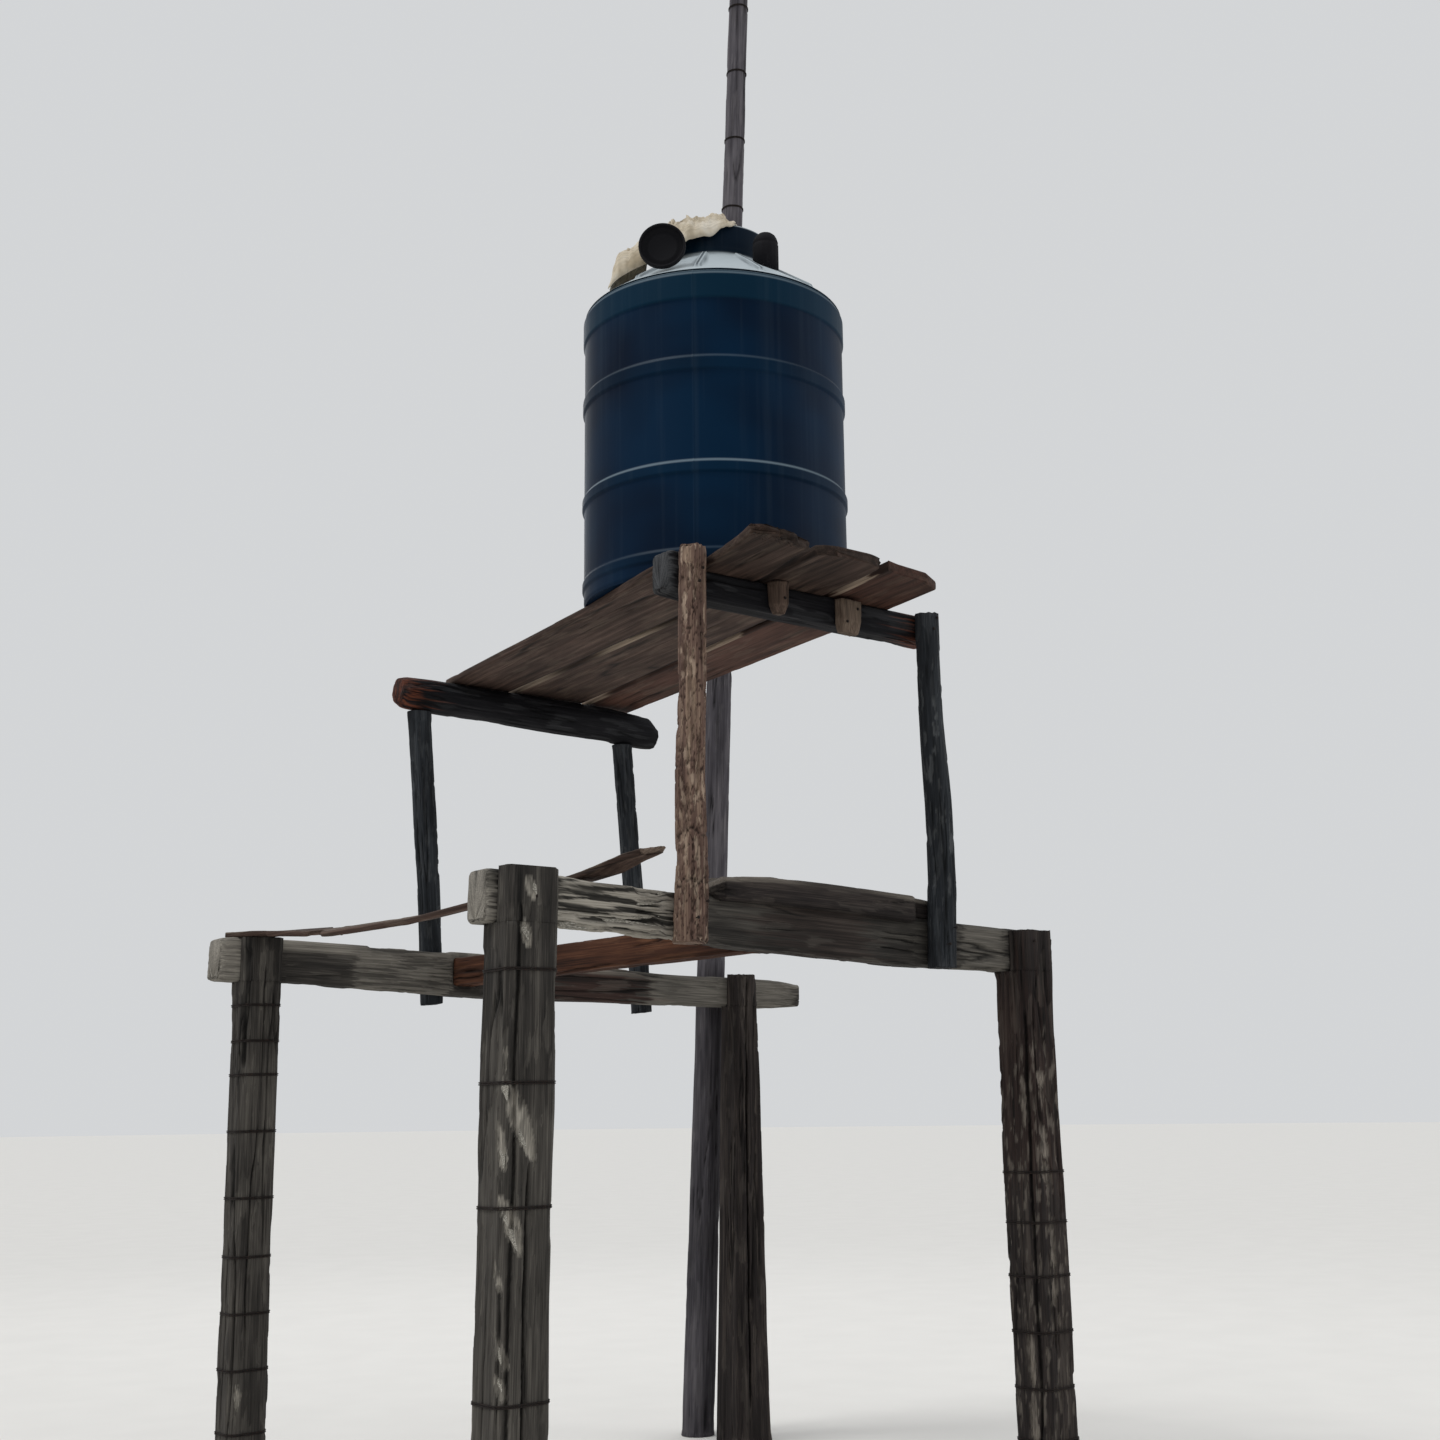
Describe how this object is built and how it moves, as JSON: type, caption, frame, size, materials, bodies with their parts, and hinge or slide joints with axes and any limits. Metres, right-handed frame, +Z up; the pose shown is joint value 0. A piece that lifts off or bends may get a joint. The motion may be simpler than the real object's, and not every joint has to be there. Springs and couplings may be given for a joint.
{
  "type": "water tower",
  "caption": "Rough timber stand of planted posts, beams, legs and a plank deck with a dark moulded plastic water tank, its lid off, a sack on its roof and a tall pole behind.",
  "frame": {"origin": "middle of the tower's footprint on the ground", "axes": "+Z up, +X to the right along the front beam, +Y to the back"},
  "size_m": [3.265, 2.937, 8.2522],
  "materials": {
    "timber_grey": "weathered grey, cracked",
    "timber_dark": "dark, rough",
    "timber_red": "reddish, rough",
    "timber_bark": "flaking bark",
    "timber_slate": "dark grey, rough",
    "timber_plank": "rough sawn, brown",
    "timber_mast": "weathered grey, banded",
    "tank_plastic": "satin, dark blue",
    "roof_plastic": "satin, dusty",
    "black_plastic": "satin, near black",
    "sack_cloth": "coarse woven cloth"
  },
  "bodies": {
    "root": {"post_front": "timber_grey", "post_right": "timber_dark", "post_left": "timber_grey", "post_rear": "timber_dark", "front_beam": "timber_grey", "rear_beam": "timber_grey", "cross_timber": "timber_red", "leg_front": "timber_bark", "leg_right": "timber_slate", "leg_left": "timber_slate", "leg_rear": "timber_slate", "front_bearer": "timber_dark", "rear_bearer": "timber_dark", "plank_left": "timber_plank", "plank_middle": "timber_plank", "plank_right": "timber_plank", "hanging_block": "timber_grey", "cleat_block": "timber_grey", "top_slab": "timber_dark", "loose_board": "timber_plank", "mast": "timber_mast", "tank_wall": "tank_plastic", "tank_floor": "tank_plastic", "tank_roof": "roof_plastic", "tank_lid": "black_plastic", "sack": "sack_cloth", "inlet_fitting": "black_plastic", "outlet_fitting": "black_plastic"}
  },
  "joints": []
}
